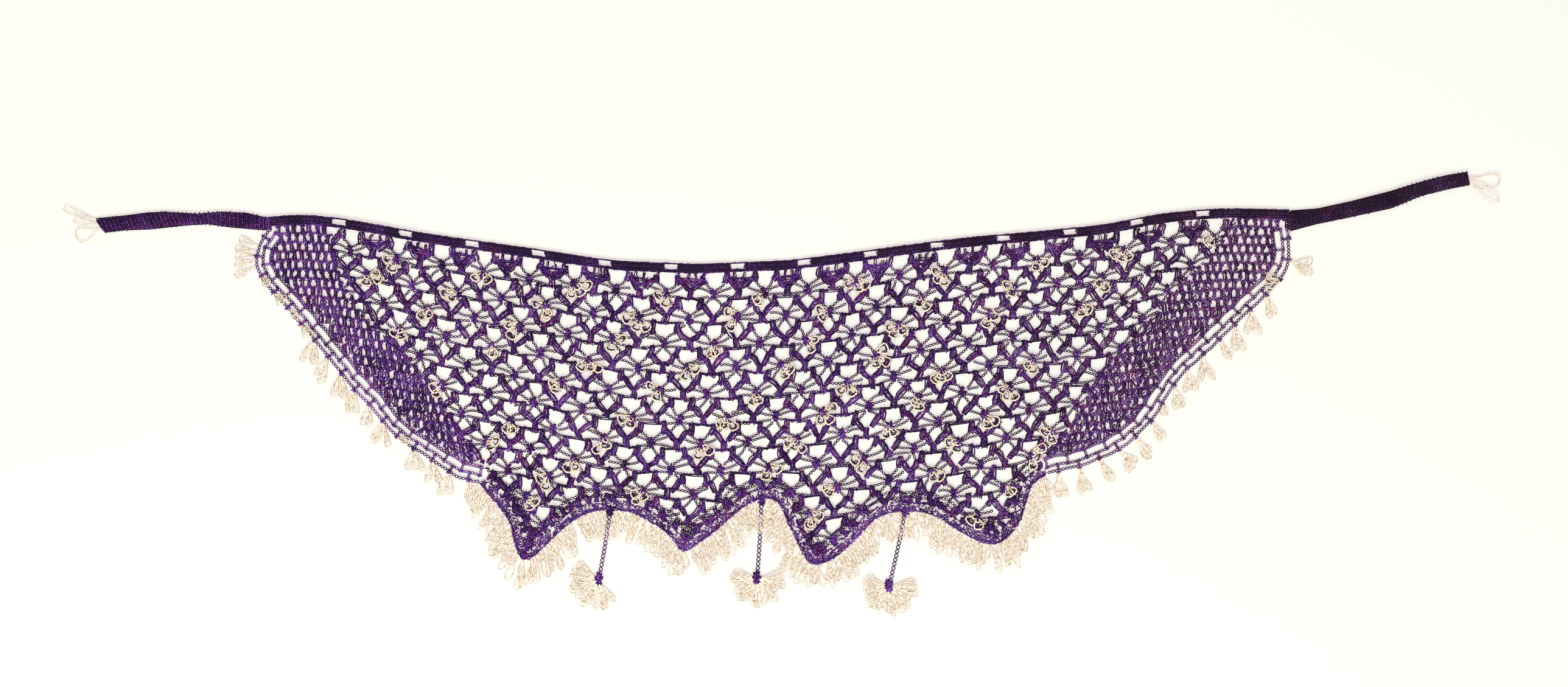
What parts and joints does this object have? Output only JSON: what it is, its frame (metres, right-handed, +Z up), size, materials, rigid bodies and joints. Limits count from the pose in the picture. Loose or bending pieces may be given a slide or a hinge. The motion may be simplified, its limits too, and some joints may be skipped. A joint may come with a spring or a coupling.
{
  "type": "belly dance hip scarf",
  "caption": "Crocheted lace hip scarf laid flat, with a waistband and ties, open-net side panels, a zigzag hem, bead-loop fringe and hanging bead tassels.",
  "frame": {"origin": "middle of the scarf's outline, on the surface that it lies on", "axes": "+X along the waistband to the right tie, +Y from the hem towards the waist, +Z up from the surface"},
  "size_m": [1.3895, 0.4301, 0.003],
  "materials": {
    "lace_yarn": "soft crocheted yarn with a slight sheen",
    "dense_yarn": "soft densely crocheted yarn with a slight sheen",
    "beads": "pale cream iridescent glass seed beads"
  },
  "bodies": {
    "root": {"waistband": "dense_yarn", "tie_left": "dense_yarn", "tie_right": "dense_yarn", "lace_body": "lace_yarn", "side_net_left": "dense_yarn", "side_net_right": "dense_yarn", "ladder_left": "lace_yarn", "ladder_right": "lace_yarn", "hem_border": "dense_yarn", "fringe_hem_1": "beads", "fringe_hem_2": "beads", "fringe_hem_3": "beads", "fringe_hem_4": "beads", "fringe_hem_5": "beads", "fringe_hem_6": "beads", "fringe_hem_7": "beads", "fringe_hem_8": "beads", "fringe_side_left": "beads", "fringe_side_right": "beads", "fringe_corner_left": "beads", "fringe_corner_right": "beads", "tassel_1": "beads", "tassel_2": "beads", "tassel_3": "beads", "tassel_cord_1": "lace_yarn", "tassel_cord_2": "lace_yarn", "tassel_cord_3": "lace_yarn", "tie_beads_left": "beads", "tie_beads_right": "beads"}
  },
  "joints": []
}
